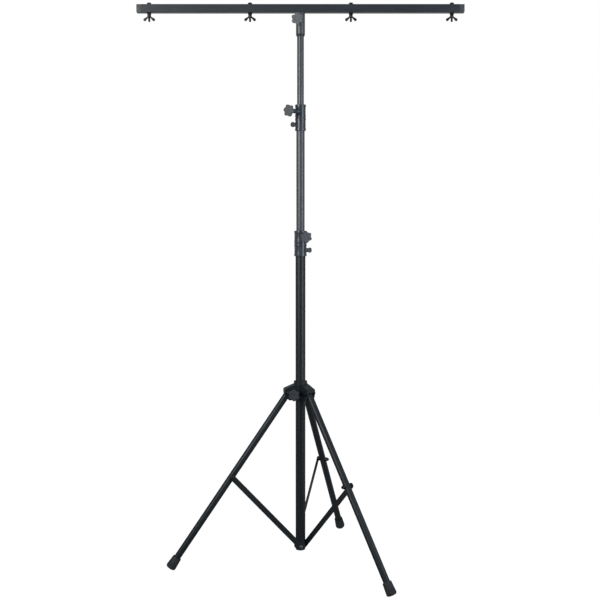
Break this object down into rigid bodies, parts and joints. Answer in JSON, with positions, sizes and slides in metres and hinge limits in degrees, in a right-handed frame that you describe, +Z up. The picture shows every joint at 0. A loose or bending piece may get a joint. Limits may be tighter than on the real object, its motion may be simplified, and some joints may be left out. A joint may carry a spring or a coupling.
{
  "type": "lighting t bar stand",
  "caption": "Folding tripod stand with a telescoping mast and a square-tube crossbar that carries lamps on vertical bolts with wing nuts.",
  "frame": {"origin": "on the floor, under the middle of the stand's bounding box; the mast stands 42 mm from it towards -Y", "axes": "+Z up along the mast, X along the crossbar, the front leg and the crown clamp towards -Y"},
  "size_m": [1.2, 0.8712, 2.0963],
  "materials": {
    "black_paint": "satin",
    "crown_paint": "satin",
    "collar_plastic": "satin",
    "knob_plastic": "matte",
    "nylon": "satin",
    "rubber": "matte",
    "black_zinc": "black zinc plated",
    "zinc": "zinc plated"
  },
  "bodies": {
    "lower_mast": {"lower_tube": "black_paint", "lower_tube_plug": "nylon", "lower_collar": "collar_plastic"},
    "tripod_crown": {"crown": "crown_paint", "leg_1_pivot_bolt": "black_zinc", "leg_1_pivot_nut": "black_zinc", "leg_2_pivot_bolt": "black_zinc", "leg_2_pivot_nut": "black_zinc", "leg_3_pivot_bolt": "black_zinc", "leg_3_pivot_nut": "black_zinc"},
    "leg_1": {"leg_1_tube": "black_paint", "leg_1_foot": "rubber", "leg_1_brace_bolt": "black_zinc", "leg_1_brace_nut": "black_zinc"},
    "leg_2": {"leg_2_tube": "black_paint", "leg_2_foot": "rubber", "leg_2_brace_bolt": "black_zinc", "leg_2_brace_nut": "black_zinc"},
    "leg_3": {"leg_3_tube": "black_paint", "leg_3_foot": "rubber", "leg_3_brace_bolt": "black_zinc", "leg_3_brace_nut": "black_zinc"},
    "brace_1": {"brace_1": "black_paint", "brace_1_rivet": "zinc"},
    "brace_2": {"brace_2": "black_paint", "brace_2_rivet": "zinc"},
    "brace_3": {"brace_3": "black_paint", "brace_3_rivet": "zinc"},
    "middle_mast": {"middle_tube": "black_paint", "middle_tube_bush": "nylon", "upper_collar": "collar_plastic"},
    "top_mast": {"top_tube": "black_paint", "top_tube_bush": "nylon"},
    "tee_bush": {"tee_socket_bush": "nylon"},
    "tee_head": {"crossbar": "black_paint", "crossbar_end_cap_right": "collar_plastic", "crossbar_end_cap_left": "collar_plastic", "fixture_bolt_1": "black_zinc", "fixture_bolt_2": "black_zinc", "fixture_bolt_3": "black_zinc", "fixture_bolt_4": "black_zinc", "bolt_lock_nut_1": "black_zinc", "bolt_lock_nut_2": "black_zinc", "bolt_lock_nut_3": "black_zinc", "bolt_lock_nut_4": "black_zinc", "tee_socket": "black_paint"},
    "crown_clamp": {"crown_knob": "knob_plastic", "crown_knob_stud": "zinc"},
    "lower_clamp": {"lower_knob": "knob_plastic", "lower_knob_stud": "zinc"},
    "upper_clamp": {"upper_knob": "knob_plastic", "upper_knob_stud": "zinc"},
    "tee_clamp": {"tee_knob": "knob_plastic", "tee_knob_stud": "zinc"},
    "lower_pin": {"lower_lock_pin": "knob_plastic"},
    "upper_pin": {"upper_lock_pin": "knob_plastic"},
    "wing_1": {"wing_nut_1": "black_zinc"},
    "wing_2": {"wing_nut_2": "black_zinc"},
    "wing_3": {"wing_nut_3": "black_zinc"},
    "wing_4": {"wing_nut_4": "black_zinc"}
  },
  "joints": [
    {"name": "crown_slide", "type": "slide", "parent": "lower_mast", "child": "tripod_crown", "axis": [0, 0, 1], "range_m": [0, 0.1666]},
    {"name": "leg_1_fold", "type": "hinge", "parent": "tripod_crown", "child": "leg_1", "pos_m": [0.03021, -0.07817, 0.6552], "axis": [0.766, 0.6428, 0], "range_deg": [0, 34.62]},
    {"name": "leg_2_fold", "type": "hinge", "parent": "tripod_crown", "child": "leg_2", "pos_m": [0.01607, 0.002, 0.6552], "axis": [-0.9397, 0.342, 0], "range_deg": [0, 34.62]},
    {"name": "leg_3_fold", "type": "hinge", "parent": "tripod_crown", "child": "leg_3", "pos_m": [-0.04629, -0.05033, 0.6552], "axis": [0.1736, -0.9848, 0], "range_deg": [0, 34.62]},
    {"name": "brace_1_fold", "type": "hinge", "parent": "leg_1", "child": "brace_1", "pos_m": [0.18355, -0.22933, 0.34447], "axis": [-0.766, -0.6428, 0], "range_deg": [0, 70.74]},
    {"name": "brace_2_fold", "type": "hinge", "parent": "leg_2", "child": "brace_2", "pos_m": [0.07032, 0.21038, 0.34447], "axis": [0.9397, -0.342, 0], "range_deg": [0, 70.74]},
    {"name": "brace_3_fold", "type": "hinge", "parent": "leg_3", "child": "brace_3", "pos_m": [-0.25387, -0.10754, 0.34447], "axis": [-0.1736, 0.9848, 0], "range_deg": [0, 70.74]},
    {"name": "middle_slide", "type": "slide", "parent": "lower_mast", "child": "middle_mast", "axis": [0, 0, 1], "range_m": [-0.366, 0.43]},
    {"name": "top_slide", "type": "slide", "parent": "middle_mast", "child": "top_mast", "axis": [0, 0, 1], "range_m": [-0.243, 0.46]},
    {"name": "tee_lift", "type": "slide", "parent": "top_mast", "child": "tee_bush", "axis": [0, 0, 1], "range_m": [0, 0.1]},
    {"name": "tee_swivel", "type": "hinge", "parent": "tee_bush", "child": "tee_head", "pos_m": [0, -0.04217, 2.05943], "axis": [0, 0, 1], "continuous": true},
    {"name": "crown_clamp_turn", "type": "hinge", "parent": "tripod_crown", "child": "crown_clamp", "pos_m": [-0.0171, -0.08915, 0.6542], "axis": [-0.342, -0.9397, 0], "range_deg": [0, 360]},
    {"name": "lower_clamp_turn", "type": "hinge", "parent": "lower_mast", "child": "lower_clamp", "pos_m": [0.01873, -0.08852, 1.23982], "axis": [0.3746, -0.9272, 0], "range_deg": [0, 360]},
    {"name": "upper_clamp_turn", "type": "hinge", "parent": "middle_mast", "child": "upper_clamp", "pos_m": [-0.0341, -0.07873, 1.70112], "axis": [-0.682, -0.7314, 0], "range_deg": [0, 360]},
    {"name": "tee_clamp_turn", "type": "hinge", "parent": "tee_head", "child": "tee_clamp", "pos_m": [-0.01125, -0.09088, 2.03043], "axis": [-0.225, -0.9744, 0], "range_deg": [0, 360]},
    {"name": "lower_pin_pull", "type": "slide", "parent": "lower_mast", "child": "lower_pin", "axis": [0.866, -0.5, 0], "range_m": [0, 0.006], "stiffness_N_per_m": 500, "springref_m": -0.006},
    {"name": "upper_pin_pull", "type": "slide", "parent": "middle_mast", "child": "upper_pin", "axis": [-0.788, -0.6157, 0], "range_m": [0, 0.006], "stiffness_N_per_m": 500, "springref_m": -0.006},
    {"name": "wing_1_run", "type": "slide", "parent": "tee_head", "child": "wing_1", "axis": [0, 0, -1], "range_m": [0, 0.012]},
    {"name": "wing_2_run", "type": "slide", "parent": "tee_head", "child": "wing_2", "axis": [0, 0, -1], "range_m": [0, 0.012]},
    {"name": "wing_3_run", "type": "slide", "parent": "tee_head", "child": "wing_3", "axis": [0, 0, -1], "range_m": [0, 0.012]},
    {"name": "wing_4_run", "type": "slide", "parent": "tee_head", "child": "wing_4", "axis": [0, 0, -1], "range_m": [0, 0.012]}
  ],
  "couplings": [
    {"joint": "leg_1_fold", "follows": "crown_slide", "rad_per_m": 3.6239},
    {"joint": "leg_2_fold", "follows": "crown_slide", "rad_per_m": 3.6239},
    {"joint": "leg_3_fold", "follows": "crown_slide", "rad_per_m": 3.6239},
    {"joint": "brace_1_fold", "follows": "crown_slide", "rad_per_m": 7.4062},
    {"joint": "brace_2_fold", "follows": "crown_slide", "rad_per_m": 7.4062},
    {"joint": "brace_3_fold", "follows": "crown_slide", "rad_per_m": 7.4062}
  ]
}
